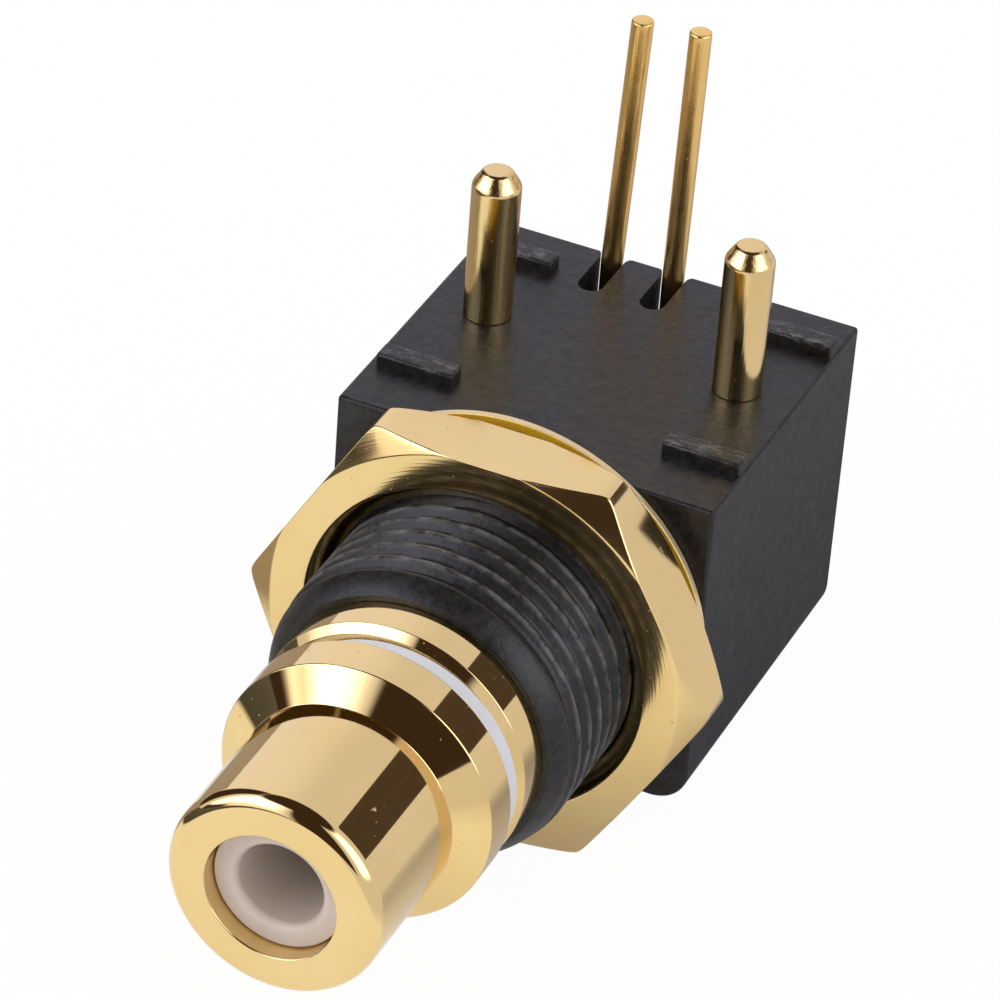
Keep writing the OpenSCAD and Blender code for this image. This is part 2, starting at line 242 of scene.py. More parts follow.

# Floor: how white it is where it is seen, and the painted shade that metal mirrors on it, with where it
# starts and ends
FLOOR_SIZE = 3.0
FLOOR_PAINT = (0.95, 0.95, 0.95)
FLOOR_ROUGHNESS = 0.9
FLOOR_WHITE = 0.97
FLOOR_MIRRORED = 0.45
SHADE_AZIMUTH = math.radians(22)
SHADE_RUN = (-18 * MM, 16 * MM)
SHADES = ((0, (1.05, 1.05, 1.05)), (0.3, (0.64, 0.62, 0.68)), (0.6, (0.42, 0.41, 0.45)))
# Painted shade of the floor as metal mirrors it: lighter again far to the right, darker on the left by
# the nut, near black at the far front left corner
RIGHT_FLOOR_SHADE = (0.82, 0.80, 0.86)
RIGHT_TONE_X = (15 * MM, 24 * MM)
LEFT_FLOOR_SHADE = (0.40, 0.34, 0.30)
LEFT_TONE_X = (-15 * MM, -18 * MM)
LEFT_TONE_Y = (-21 * MM, -18 * MM)
CORNER_SHADE_LEVEL = 0.06
CORNER_X = (-37 * MM, -32 * MM)
CORNER_Y = (-22 * MM, -12 * MM)

# Lamp in front, and the dark card behind that the collar mirrors
LAMP_AZIMUTH = 318
LAMP_ELEVATION = 30
LAMP_DISTANCE = 0.6
LAMP_SIZE = (0.32, 0.20)
LAMP_RADIANCE = 2.2
CARD_AZIMUTH = 143.5
CARD_ELEVATION = 21
CARD_DISTANCE = 0.5
CARD_WIDTH = 18
CARD_HEIGHT = 30
CARD_TWIST = -27
CARD_COLOUR = (0.075, 0.05, 0.038)

# Sockets of the colour Mix node: factor, two colours and result
MIX_FACTOR = 0
MIX_A = 6
MIX_B = 7
MIX_RESULT = 2


def middle(low, high):
    return (low + high) / 2


def spaced(end, steps):
    """Even steps from 0 to an end."""
    return [end * k / steps for k in range(steps + 1)]


def toward(azimuth, elevation):
    """Unit vector in a direction."""
    a, e = math.radians(azimuth), math.radians(elevation)
    return Vector((math.sin(a) * math.cos(e), -math.cos(a) * math.cos(e), math.sin(e)))


def spoke_at(share):
    """Unit vector in the XY plane, at a share of a full turn."""
    angle = 2 * math.pi * share
    return Vector((math.cos(angle), math.sin(angle), 0))


def along_y(origin):
    """Frame of a piece turned about a line through origin along +Y."""
    return Matrix.Translation(origin) @ Matrix(((1, 0, 0, 0), (0, 0, 1, 0), (0, -1, 0, 0), (0, 0, 0, 1)))


def rounded(corners, closed=True):
    """Points and outward normals of a profile, from (radius, distance, rounding) corners."""
    count = len(corners)
    flat = [Vector((r, y)) for r, y, _ in corners]
    area = sum(a.x * b.y - b.x * a.y for a, b in zip(flat, flat[1:] + flat[:1]))
    turn = 1 if area > 0 else -1
    points, normals = [], []

    def outward(direction):
        return Vector((direction.y, -direction.x)) * turn

    for i, (_, _, rounding) in enumerate(corners):
        before, here, after = flat[i - 1], flat[i], flat[(i + 1) % count]
        if not closed and i in (0, count - 1):
            along = after - here if i == 0 else here - before
            points.append(here)
            normals.append(outward(along.normalized()))
            continue
        arrive = (here - before).normalized()
        leave = (after - here).normalized()
        bend = math.atan2(arrive.x * leave.y - arrive.y * leave.x, arrive.dot(leave))
        if abs(bend) < NO_BEND:
            continue
        room = ROUNDING_ROOM * min((here - before).length, (after - here).length)
        reach = min(rounding * math.tan(abs(bend) / 2), room)
        radius = reach / math.tan(abs(bend) / 2)
        first = here - arrive * reach
        side = 1 if bend > 0 else -1
        centre = first + Vector((-arrive.y, arrive.x)) * side * radius
        for angle in spaced(bend, max(2, math.ceil(abs(bend) / ARC_STEP))):
            swing = Matrix.Rotation(angle, 2)
            points.append(centre + swing @ (first - centre))
            normals.append(outward(swing @ arrive))
    return points, normals


def even_outline(corners):
    """Closed outline with the same number of points whatever its corners' angles."""
    count = len(corners)
    flat = [Vector((r, y)) for r, y, _ in corners]
    points = []
    for i, (_, _, rounding) in enumerate(corners):
        before, here, after = flat[i - 1], flat[i], flat[(i + 1) % count]
        arrive, leave = before - here, after - here
        reach = min(rounding, OUTLINE_ROOM * arrive.length, OUTLINE_ROOM * leave.length)
        start = here + arrive.normalized() * reach
        end = here + leave.normalized() * reach
        for t in spaced(1, 4):
            points.append(start * (1 - t) ** 2 + here * 2 * t * (1 - t) + end * t * t)
    return points


def ring_numbers(row, size):
    """Vertex numbers of a ring, where every ring has the same size."""
    return list(range(row * size, (row + 1) * size))


def band(a, b, segments):
    """Faces between two rings of vertex numbers; a ring of one vertex is a pole."""
    faces = []
    for k in range(segments):
        j = (k + 1) % segments
        if len(a) == 1:
            faces.append((a[0], b[j], b[k]))
        elif len(b) == 1:
            faces.append((a[k], a[j], b[0]))
        else:
            faces.append((a[k], a[j], b[j], b[k]))
    return faces


def stacked_bands(rows, size):
    """Faces between each ring and the next, for rings of one size."""
    faces = []
    for row in range(rows - 1):
        faces += band(ring_numbers(row, size), ring_numbers(row + 1, size), size)
    return faces


def add_object(name, data):
    """Puts a mesh, light or camera into the scene."""
    made = bpy.data.objects.new(name, data)
    bpy.context.scene.collection.objects.link(made)
    return made


def plain_mesh(name, verts, faces):
    mesh = bpy.data.meshes.new(name)
    mesh.from_pydata(verts, [], faces)
    return mesh


def smooth_piece(name, verts, faces, normals=None):
    """Piece of one smooth mesh, with given vertex normals if there are any."""
    mesh = plain_mesh(name, verts, faces)
    mesh.validate()
    mesh.shade_smooth()
    if normals is not None:
        mesh.normals_split_custom_set_from_vertices(normals)
    return add_object(name, mesh)


def piece_from(mesh, name):
    """Piece of a bmesh, which is used up."""
    data = bpy.data.meshes.new(name)
    mesh.to_mesh(data)
    mesh.free()
    return add_object(name, data)


def face_outward(piece):
    """Turns the faces of a closed mesh outward."""
    mesh = bmesh.new()
    mesh.from_mesh(piece.data)
    bmesh.ops.recalc_face_normals(mesh, faces=mesh.faces)
    mesh.to_mesh(piece.data)
    mesh.free()


def round_edges(mesh, edges, radius, steps):
    bmesh.ops.bevel(mesh, geom=edges, offset=radius, segments=steps, profile=0.5, affect="EDGES")


def weigh_normals(piece):
    """Flat faces keep flat shading up to their rounded edges."""
    modifier = piece.modifiers.new("weighted", "WEIGHTED_NORMAL")
    modifier.mode = "FACE_AREA"
    modifier.weight = NORMAL_WEIGHT
    modifier.keep_sharp = True


def cut(piece, cutter):
    """Takes the cutter out of the piece and deletes the cutter."""
    modifier = piece.modifiers.new("cut", "BOOLEAN")
    modifier.operation = "DIFFERENCE"
    modifier.solver = "EXACT"
    modifier.object = cutter
    graph = bpy.context.evaluated_depsgraph_get()
    data = bpy.data.meshes.new_from_object(piece.evaluated_get(graph))
    piece.modifiers.clear()
    piece.data = data
    bpy.data.objects.remove(cutter)


def lathe(name, corners, place, closed=True, segments=LATHE_SEGMENTS):
    """Piece turned about the place's local Z, from a profile of (radius, distance, rounding)."""
    points, slopes = rounded(corners, closed)
    turn = place.to_3x3()
    verts, normals, rings = [], [], []
    for point, slope in zip(points, slopes):
        pole = point.x < NO_LENGTH
        lean = 0 if pole else slope.x
        ring = []
        for k in range(1 if pole else segments):
            spoke = spoke_at(k / segments)
            ring.append(len(verts))
            verts.append(place @ (spoke * point.x + Vector((0, 0, point.y))))
            normals.append(tuple((turn @ (spoke * lean + Vector((0, 0, slope.y)))).normalized()))
        rings.append(ring)
    faces = []
    for a, b in zip(rings, rings[1:] + rings[:1] if closed else rings[1:]):
        faces += band(a, b, segments)
    piece = smooth_piece(name, verts, faces, normals)
    mesh = piece.data
    votes = sum(1 if f.normal.dot(normals[f.vertices[0]]) > 0 else -1 for f in mesh.polygons)
    if votes < 0:
        mesh.flip_normals()
        mesh.normals_split_custom_set_from_vertices(normals)
    return piece


def skin(name, outlines, place):
    """Closed skin over outlines that stand round the place's local Z."""
    count, size = len(outlines), len(outlines[0])
    verts = []
    for k, outline in enumerate(outlines):
        spoke = spoke_at(k / count)
        verts.extend(place @ (spoke * p.x + Vector((0, 0, p.y))) for p in outline)
    faces = stacked_bands(count, size)
    faces += band(ring_numbers(count - 1, size), ring_numbers(0, size), size)
    piece = smooth_piece(name, verts, faces)
    face_outward(piece)
    weigh_normals(piece)
    return piece


def dress(piece, body, slot, material, *nodes):
    """Puts a finished piece on its body, in place of its CAD nodes."""
    piece.data.materials.clear()
    piece.data.materials.append(material)
    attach(piece, body)
    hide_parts(*nodes)
    return piece


class Shader:
    """Node material with one Principled shader and short ways to add to it."""

    def __init__(self, name, **sockets):
        self.material = bpy.data.materials.new(name)
        self.material.use_nodes = True
        self.tree = self.material.node_tree
        self.surface = self.tree.nodes["Principled BSDF"]
        for socket, value in sockets.items():
            self.surface.inputs[socket.replace("_", " ")].default_value = value

    def node(self, kind, inputs=None, **settings):
        """New node with settings, and with inputs that are values or linked sockets."""
        made = self.tree.nodes.new(kind)
        for key, value in settings.items():
            setattr(made, key, value)
        for key, value in (inputs or {}).items():
            if isinstance(value, bpy.types.NodeSocket):
                self.tree.links.new(value, made.inputs[key])
            else:
                made.inputs[key].default_value = value
        return made

    def set(self, socket, value):
        self.tree.links.new(value, self.surface.inputs[socket])

    def math(self, operation, a, b=0.0, c=0.0):
        return self.node("ShaderNodeMath", {0: a, 1: b, 2: c}, operation=operation).outputs[0]

    def coordinate(self, kind="Object"):
        """Position on the object in metres, or another of the texture coordinates."""
        return self.node("ShaderNodeTexCoord").outputs[kind]

    def split(self, vector):
        """X, Y and Z of a vector."""
        return self.node("ShaderNodeSeparateXYZ", {0: vector}).outputs

    def scale(self, vector, factors):
        inputs = {0: vector, 1: factors}
        return self.node("ShaderNodeVectorMath", inputs, operation="MULTIPLY").outputs[0]

    def span(self, value, start, end, low=0.0, high=1.0, **settings):
        """Goes from low to high while a value goes from start to end."""
        inputs = {"Value": value, "From Min": start, "From Max": end, "To Min": low, "To Max": high}
        return self.node("ShaderNodeMapRange", inputs, **settings).outputs[0]

    def noise(self, vector, scale, detail=3.0, roughness=0.5):
        inputs = {"Vector": vector, "Scale": scale, "Detail": detail, "Roughness": roughness}
        return self.node("ShaderNodeTexNoise", inputs).outputs["Fac"]

    def ramp(self, value, *stops):
        """Colour that goes through stops of (position, colour)."""
        made = self.node("ShaderNodeValToRGB", {"Fac": value})
        elements = made.color_ramp.elements
        for index, (position, colour) in enumerate(stops):
            element = elements[index] if index < 2 else elements.new(position)
            element.position = position
            element.color = (*colour, 1)
        return made.outputs["Color"]

    def mix(self, share, a, b):
        """Colour from a to b by a share; each is a socket or three numbers."""
        a, b = (c if isinstance(c, bpy.types.NodeSocket) else (*c, 1) for c in (a, b))
        inputs = {MIX_FACTOR: share, MIX_A: a, MIX_B: b}
        return self.node("ShaderNodeMix", inputs, data_type="RGBA").outputs[MIX_RESULT]

    def bump(self, height, distance, strength=1.0, normal=None):
        inputs = {"Height": height, "Distance": distance, "Strength": strength}
        if normal is not None:
            inputs["Normal"] = normal
        return self.node("ShaderNodeBump", inputs).outputs["Normal"]

    def from_axis(self, place, axis_z):
        """Distance of a place from the socket's axis."""
        x, _, z = self.split(place)
        up = self.math("SUBTRACT", z, axis_z)
        square = self.math("ADD", self.math("MULTIPLY", x, x), self.math("MULTIPLY", up, up))
        return self.math("SQRT", square)


def gold(name, axis_z=None, roughness=0.05, marks=0.0, colour=GOLD, drawn=0.0, metallic=1.0, rim=None):
    """Polished gold plating with slight clouding and specks of dust.

    Depths of marks are in millimetres: turned rings about the axis, or drawn streaks along a pin.
    A rim colour takes over where the surface doesn't face along the socket.
    """
    shader = Shader(name, Metallic=metallic)
    place = shader.coordinate()
    pale = tuple(min(1, c * k) for c, k in zip(colour, GOLD_PALER))
    deep = tuple(c * k for c, k in zip(colour, GOLD_DEEPER))
    base = shader.ramp(shader.noise(place, CLOUDS, detail=4), (0.3, deep), (0.7, pale))
    # For the washer the main colour is a painted gleam on its faces, and the rim colour is the plain
    # plating.
    if rim:
        facing = shader.math("ABSOLUTE", shader.split(shader.coordinate("Normal"))[1])
        base = shader.mix(shader.span(facing, *RIM_TO_FACE), rim, base)
    shader.set("Base Color", base)
    smudges = shader.noise(place, SMUDGES, detail=5, roughness=0.6)
    rough = shader.span(smudges, 0, 1, *(roughness * share for share in SMUDGE_SPREAD))
    dust = shader.span(shader.noise(place, DUST, detail=2), *DUST_SPECKS)
    shader.set("Roughness", shader.math("MULTIPLY_ADD", dust, DUST_ROUGHNESS, rough))
    normal = shader.bump(shader.noise(place, GRAIN, detail=2), GRAIN_DEPTH, 0.5)
    if axis_z is not None:
        outline = shader.math("ADD", shader.from_axis(place, axis_z), shader.split(place)[1])
        inputs = {"W": shader.math("MULTIPLY", outline, TOOL_MARKS), "Scale": 1.0, "Detail": 3.0}
        rings = shader.node("ShaderNodeTexNoise", inputs, noise_dimensions="1D").outputs["Fac"]
        normal = shader.bump(rings, marks * MM, normal=normal)
    if drawn:
        streaks = shader.noise(shader.scale(place, DRAWN_STREAKS), 1.0, roughness=0.6)
        normal = shader.bump(streaks, drawn * MM, normal=normal)
    shader.set("Normal", normal)
    return shader.material


def rubbed(shader, place, on_nose, axis_z, top_z):
    """Share of light wear: broken along the thread's crests, scuffed on top of the stand-offs."""
    crest = shader.span(shader.from_axis(place, axis_z), NOSE_R - WORN_CREST, NOSE_R)
    broken = shader.span(shader.noise(place, WEAR, detail=4, roughness=0.7), *WEAR_BREAKS)
    worn = shader.math("MULTIPLY", shader.math("MULTIPLY", crest, on_nose), broken)
    raised = shader.span(shader.split(place)[2], top_z + SCUFF_START, top_z + STANDOFF_HEIGHT)
    scratched = shader.noise(shader.scale(place, SCUFFS), 1.0, detail=5, roughness=0.8)
    scuffs = shader.math("MULTIPLY", raised, shader.span(scratched, *SCUFF_BREAKS))
    return shader.math("MAXIMUM", worn, scuffs)


def black_plastic(name, axis_z, block_front, top_z):
    """Black moulded plastic: patchy, finely grained, worn lighter where it is rubbed."""
    shader = Shader(name)
    shader.surface.inputs["Specular IOR Level"].default_value = BLACK_SPECULAR
    place = shader.coordinate()
    on_nose = shader.math("LESS_THAN", shader.split(place)[1], block_front - NOSE_MARGIN)
    patches = shader.noise(place, PATCHES, detail=6, roughness=0.75)
    base = shader.ramp(patches, (0.35, BLACK_DEEP), (0.65, BLACK_PALE))
    worn = rubbed(shader, place, on_nose, axis_z, top_z)
    shader.set("Base Color", shader.mix(worn, base, BLACK_WORN))
    gloss = shader.noise(place, GLOSS_PATCHES, detail=5, roughness=0.7)
    rough = shader.span(gloss, 0, 1, *BLACK_ROUGHNESS)
    sideways = shader.math("ABSOLUTE", shader.split(shader.coordinate("Normal"))[0])
    on_block = shader.math("SUBTRACT", 1.0, on_nose)
    side = shader.math("MULTIPLY", shader.math("POWER", sideways, SIDE_SHARPNESS), on_block)
    rough = shader.math("MULTIPLY_ADD", side, SIDE_ROUGHNESS, rough)
    shader.set("Roughness", shader.math("MULTIPLY_ADD", on_nose, NOSE_ROUGHNESS, rough))
    coarse = shader.noise(place, COARSE_GRAIN, detail=4, roughness=0.75)
    fine = shader.noise(place, FINE_GRAIN, roughness=0.6)
    normal = shader.bump(coarse, COARSE_DEPTH, 0.8)
    shader.set("Normal", shader.bump(fine, FINE_DEPTH, 0.7, normal))
    return shader.material


def pale_plastic(name, colour, roughness, subsurface=0.0):
    """Pale moulded plastic with slight mottling, and with light inside it if it is milky."""
    shader = Shader(name, Roughness=roughness)
    place = shader.coordinate()
    deep = tuple(c * MOTTLE_DEEPER for c in colour)
    shader.set("Base Color", shader.ramp(shader.noise(place, MOTTLE), (0.3, deep), (0.7, colour)))
    grain = shader.noise(place, PALE_GRAIN, detail=2)
    shader.set("Normal", shader.bump(grain, PALE_GRAIN_DEPTH, 0.5))
    if subsurface:
        shader.surface.inputs["Subsurface Weight"].default_value = subsurface
        shader.surface.inputs["Subsurface Radius"].default_value = MILKY_RADIUS
        shader.surface.inputs["Subsurface Scale"].default_value = MILKY_DEPTH
    return shader.material


def turned_node(node, on_axis=True):
    """Radius, length and front end of a CAD node that is turned about a line along Y."""
    low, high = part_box(node)
    x = 0 if on_axis else middle(low.x, high.x)
    place = along_y(Vector((x, low.y, middle(low.z, high.z))))
    return (high.x - low.x) / 2, high.y - low.y, place


def make_shell(material):
    """Barrel with its rounded lip, cone, collar and shank, bored through."""
    collar_r, length, place = turned_node("outer_shell")
    cone_end = BARREL_LENGTH + CONE_LENGTH
    collar_end = cone_end + COLLAR_LENGTH
    corners = [
        (SHELL_BORE_R, 0, SOFT_EDGE),
        (BARREL_R, 0, LIP_R),
        (BARREL_R, BARREL_LENGTH, SOFT_EDGE),
        (collar_r, cone_end, RING_EDGE),
        (collar_r, collar_end, SOFT_EDGE),
        (SHANK_R, collar_end, FINE_EDGE),
        (SHANK_R, length, FINE_EDGE),
        (SHELL_BORE_R, length, FINE_EDGE),
    ]
    return dress(lathe("shell", corners, place), "socket", "gold_plate", material, "outer_shell")


def make_tube(name, node, hole_r, edge, body, slot, material):
    """Plain ring that stands where its CAD node stands."""
    outer_r, length, place = turned_node(node, on_axis=False)
    r = outer_r - RIM_INSET
    corners = [(hole_r, 0, edge), (r, 0, edge), (r, length, edge), (hole_r, length, edge)]
    return dress(lathe(name, corners, place), body, slot, material, node)


def make_bush(material):
    """Bush with a chamfered flange before the nose and a thinner seat inside it."""
    r, length, place = turned_node("rear_bush")
    corners = [
        (BUSH_HOLE_R, 0, FINE_EDGE),
        (r - BUSH_CHAMFER, 0, FINE_EDGE),
        (r, BUSH_CHAMFER, FINE_EDGE),
        (r, BUSH_FLANGE, SOFT_EDGE),
        (BUSH_SEAT_R, BUSH_FLANGE, TINY_EDGE),
        (BUSH_SEAT_R, length, TINY_EDGE),
        (BUSH_HOLE_R, length, TINY_EDGE),
    ]
    return dress(lathe("bush", corners, place), "socket", "gold_plate", material, "rear_bush")


def make_insulator(material):
    """Milky insulator with a rounded entry hole and a wider chamber behind it."""
    r, length, place = turned_node("front_insulator")
    corners = [
        (ENTRY_R, 0, ENTRY_EDGE),
        (r, 0, INSULATOR_EDGE),
        (r, length, TINY_EDGE),
        (CHAMBER_R, length, TINY_EDGE),
        (CHAMBER_R, ENTRY_LENGTH, TINY_EDGE),
        (ENTRY_R, ENTRY_LENGTH, TINY_EDGE),
    ]
    piece = lathe("mouth_insulator", corners, place)
    return dress(piece, "socket", "milky_plastic", material, "front_insulator")


def hexagon_r(share, flat_r):
    """Radius of a hexagon at a share of a turn, its corners on the X axis and slightly rounded."""
    sixth = math.pi / 3
    from_flat = abs((2 * math.pi * share % sixth) - sixth / 2)
    straight = flat_r / math.cos(from_flat)
    corner = flat_r / math.cos(sixth / 2) - NUT_CORNER_EDGE
    shares = math.exp(-NUT_CORNER_BLEND * straight) + math.exp(-NUT_CORNER_BLEND * corner)
    return -math.log(shares) / NUT_CORNER_BLEND


def make_nut(material):
    """Hexagon nut: countersunk thread hole, turned face, chamfered corners, eased edges."""
    low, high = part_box("panel_nut")
    flat_r = (high.z - low.z) / 2
    thick = high.y - low.y
    outlines = []
    for k in range(NUT_SEGMENTS):
        outer = hexagon_r(k / NUT_SEGMENTS, flat_r)
        drop = max((outer - NUT_FACE_R) * math.tan(NUT_SLOPE), NUT_LEAST_DROP)
        back_drop = max((outer - NUT_FACE_R) * math.tan(NUT_BACK_SLOPE), NUT_LEAST_DROP)
        face_r = min(NUT_FACE_R, outer - NUT_FACE_INSET)
        corners = [
            (NUT_THREAD_R, NUT_SINK_R - NUT_THREAD_R, NUT_EDGE),
            (NUT_SINK_R, 0, NUT_EDGE),
            (face_r, 0, NUT_EDGE),
            (outer, drop, NUT_EDGE),
            (outer, thick - back_drop, NUT_EDGE),
            (face_r, thick, NUT_EDGE),
            (NUT_THREAD_R, thick, NUT_EDGE),
        ]
        outlines.append(even_outline(corners))
    place = along_y(Vector((0, low.y, middle(low.z, high.z))))
    return dress(skin("nut", outlines, place), "nut", "gold_plate", material, "panel_nut")


def nose_profile(length):
    """Outline of the nose without its thread: inside the mouth, round its edge, out and back."""
    profile = [(NOSE_BORE_R, NOSE_MOUTH_DEPTH)]
    for angle in spaced(QUARTER, NOSE_MOUTH_STEPS):
        inner_r = NOSE_BORE_R + NOSE_MOUTH_EDGE * (1 - math.cos(angle))
        profile.append((inner_r, NOSE_MOUTH_EDGE * (1 - math.sin(angle))))
    for y in spaced(NOSE_LEAD_LENGTH, int(NOSE_LEAD_LENGTH / THREAD_PITCH * THREAD_STEPS)):
        angle = math.asin((NOSE_LEAD_LENGTH - y) / NOSE_LEAD_R)
        profile.append((NOSE_R - NOSE_LEAD_R * (1 - math.cos(angle)), y))
    straight = spaced(length - NOSE_LEAD_LENGTH, int(length / THREAD_PITCH * THREAD_STEPS))
    profile += [(NOSE_R, NOSE_LEAD_LENGTH + y) for y in straight[1:]]
    return profile


def thread_cut(r, y, share):
    """Depth of the helical thread under a point of the nose's outline, at a share of a turn."""
    if y <= THREAD_START:
        return 0.0
    turns = y / THREAD_PITCH + share + THREAD_PHASE
    from_root = abs((turns % 1) - 0.5) * 2
    height = min(1, max(0, (from_root - THREAD_ROOT_SHARE) / THREAD_SLOPE_SHARE))
    run_in = min(1, (y - THREAD_START) / THREAD_RUN_IN)
    return max(0, r - (NOSE_R - THREAD_DEPTH)) * run_in * (1 - height)


def add_nose(mesh, origin, length):
    """Adds the threaded nose to a bmesh, from inside its mouth round to the block."""
    place = along_y(origin)
    profile = nose_profile(length)
    verts = []
    for r, y in profile:
        for k in range(THREAD_SEGMENTS):
            share = k / THREAD_SEGMENTS
            point = spoke_at(share) * (r - thread_cut(r, y, share)) + Vector((0, 0, y))
            verts.append(mesh.verts.new(place @ point))
    for face in stacked_bands(len(profile), THREAD_SEGMENTS):
        mesh.faces.new([verts[i] for i in face])


def add_standoffs(mesh, high, block_front, top_z):
    """Adds four bars with eased edges to a bmesh, one near each corner of the top face."""
    inner_x = high.x - STANDOFF_SIDE - STANDOFF_LENGTH
    size = Vector((STANDOFF_LENGTH, STANDOFF_WIDTH, 2 * STANDOFF_HEIGHT))
    for left in (-inner_x - STANDOFF_LENGTH, inner_x):
        for front in (block_front + STANDOFF_FRONT, high.y - STANDOFF_REAR - STANDOFF_WIDTH):
            corner = Vector((STANDOFF_SHIFT + left, front, top_z - STANDOFF_HEIGHT))
            verts = bmesh.ops.create_cube(mesh, size=1)["verts"]
            bmesh.ops.scale(mesh, vec=size, verts=verts)
            bmesh.ops.translate(mesh, vec=corner + size / 2, verts=verts)
            edges = list({e for v in verts for e in v.link_edges})
            round_edges(mesh, edges, STANDOFF_EDGE, STANDOFF_EDGE_STEPS)


def slot_cutter(x, front_y, rear_y, floor_z, top_z):
    """Solid that cuts a tail slot, round at its inner end and flared at its mouth."""
    half = SLOT_WIDTH / 2
    inner = []
    for angle in spaced(math.pi, SLOT_END_STEPS):
        inner.append((x - half * math.cos(angle), front_y + half - half * math.sin(angle)))
    flare = []
    for angle in spaced(QUARTER, SLOT_MOUTH_STEPS):
        aside = half + SLOT_MOUTH_R * (1 - math.cos(angle))
        flare.append((aside, rear_y - SLOT_MOUTH_R * (1 - math.sin(angle))))
    flare.append((half + SLOT_MOUTH_R, rear_y + PAST))
    right = [(x + aside, y) for aside, y in flare]
    left = [(x - aside, y) for aside, y in reversed(flare)]
    mesh = bmesh.new()
    face = mesh.faces.new([mesh.verts.new((px, py, floor_z)) for px, py in inner + right + left])
    lifted = bmesh.ops.extrude_face_region(mesh, geom=[face])["geom"]
    top = [v for v in lifted if isinstance(v, bmesh.types.BMVert)]
    bmesh.ops.translate(mesh, vec=(0, 0, top_z - floor_z), verts=top)
    bmesh.ops.recalc_face_normals(mesh, faces=mesh.faces)
    return piece_from(mesh, "slot_cutter")


def make_block(low, high, top_z, axis_z, ground_z):
    """Block with its large foot rounding, eased edges and two tail slots."""
    mesh = bmesh.new()
    verts = bmesh.ops.create_cube(mesh, size=1)["verts"]
    size = Vector((high.x - low.x, BLOCK_DEPTH, top_z - low.z))
    centre = Vector((0, high.y - BLOCK_DEPTH / 2, middle(low.z, top_z)))
    bmesh.ops.scale(mesh, vec=size, verts=verts)
    bmesh.ops.translate(mesh, vec=centre, verts=verts)

    def is_foot(edge):
        a, b = (v.co for v in edge.verts)
        return max(a.z, b.z) < centre.z and abs(a.x - b.x) < NO_LENGTH

    feet = [e for e in mesh.edges if is_foot(e)]
    round_edges(mesh, feet, FOOT_R, FOOT_STEPS)
    sharp = [e for e in mesh.edges if len(e.link_faces) == 2 and e.calc_face_angle() > SHARP_EDGE]
    round_edges(mesh, sharp, BLOCK_EDGE, BLOCK_EDGE_STEPS)
    block = piece_from(mesh, "block")
    front_y = high.y - SLOT_DEPTH
    for x, root_z in ((SIGNAL_X, axis_z), (GROUND_X, ground_z)):
        cut(block, slot_cutter(x, front_y, high.y, root_z - SLOT_WIDTH / 2, top_z + PAST))
    return block


def make_housing(axis_z, block_front, top_z, material):
    """One black moulding: block with stand-offs and slots, and the threaded nose."""
    low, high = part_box("housing")
    ground_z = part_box("ground_tail")[0].z + TAIL_R
    block = make_block(low, high, top_z, axis_z, ground_z)
    mesh = bmesh.new()
    mesh.from_mesh(block.data)
    bpy.data.objects.remove(block)
    add_standoffs(mesh, high, block_front, top_z)
    add_nose(mesh, Vector((0, low.y, axis_z)), block_front - low.y + NOSE_ROOT)
    bmesh.ops.recalc_face_normals(mesh, faces=mesh.faces)
    for face in mesh.faces:
        face.smooth = True
    for edge in mesh.edges:
        edge.smooth = len(edge.link_faces) != 2 or edge.calc_face_angle() < SHADED_EDGE
    housing = piece_from(mesh, "moulding")
    weigh_normals(housing)
    return dress(housing, "socket", "black_plastic", material, "housing")


def make_peg(name, node, material):
    """Thick peg with a chamfered tip and eased edges."""
    low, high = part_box(node)
    r = (high.x - low.x) / 2
    length = high.z - low.z
    corners = [
        (0, 0, 0),
        (PEG_ROOT_R, 0, TINY_EDGE),
        (PEG_ROOT_R, PEG_ROOT_DEPTH, TINY_EDGE),
        (r, PEG_ROOT_DEPTH, FINE_EDGE),
        (r, length - PEG_TIP_HEIGHT, PEG_SHOULDER_EDGE),
        (PEG_TIP_R, length, PEG_TIP_EDGE),
        (0, length, 0),
    ]
    place = Matrix.Translation((middle(low.x, high.x), middle(low.y, high.y), low.z))
    piece = lathe(name, corners, place, closed=False, segments=PEG_SEGMENTS)
    return dress(piece, "socket", "gold_plate", material, node)


def tail_rings(run, upright, rise, lean):
    """Rings (centre, direction, radius) of a tail: back, up round its bend, leaning, cropped."""

    def above_block(height):
        return Vector((height * math.tan(lean), run, upright + height))

    rings = [(Vector((0, 0, 0)), 0, TAIL_R)]
    for angle in spaced(QUARTER, TAIL_BEND_STEPS):
        along = run - TAIL_BEND_R + TAIL_BEND_R * math.sin(angle)
        rings.append((Vector((0, along, TAIL_BEND_R * (1 - math.cos(angle)))), angle, TAIL_R))
    rings.append((above_block(0), QUARTER, TAIL_R))
    for share in TAIL_RINGS_ABOVE:
        rings.append((above_block((rise - upright) * share), QUARTER, TAIL_R))
    for angle in spaced(QUARTER, TAIL_TIP_STEPS):
        height = rise - upright - TAIL_TIP_EDGE * (1 - math.sin(angle))
        r = TAIL_R - TAIL_TIP_EDGE * (1 - math.cos(angle))
        rings.append((above_block(height), QUARTER, r))
    return rings


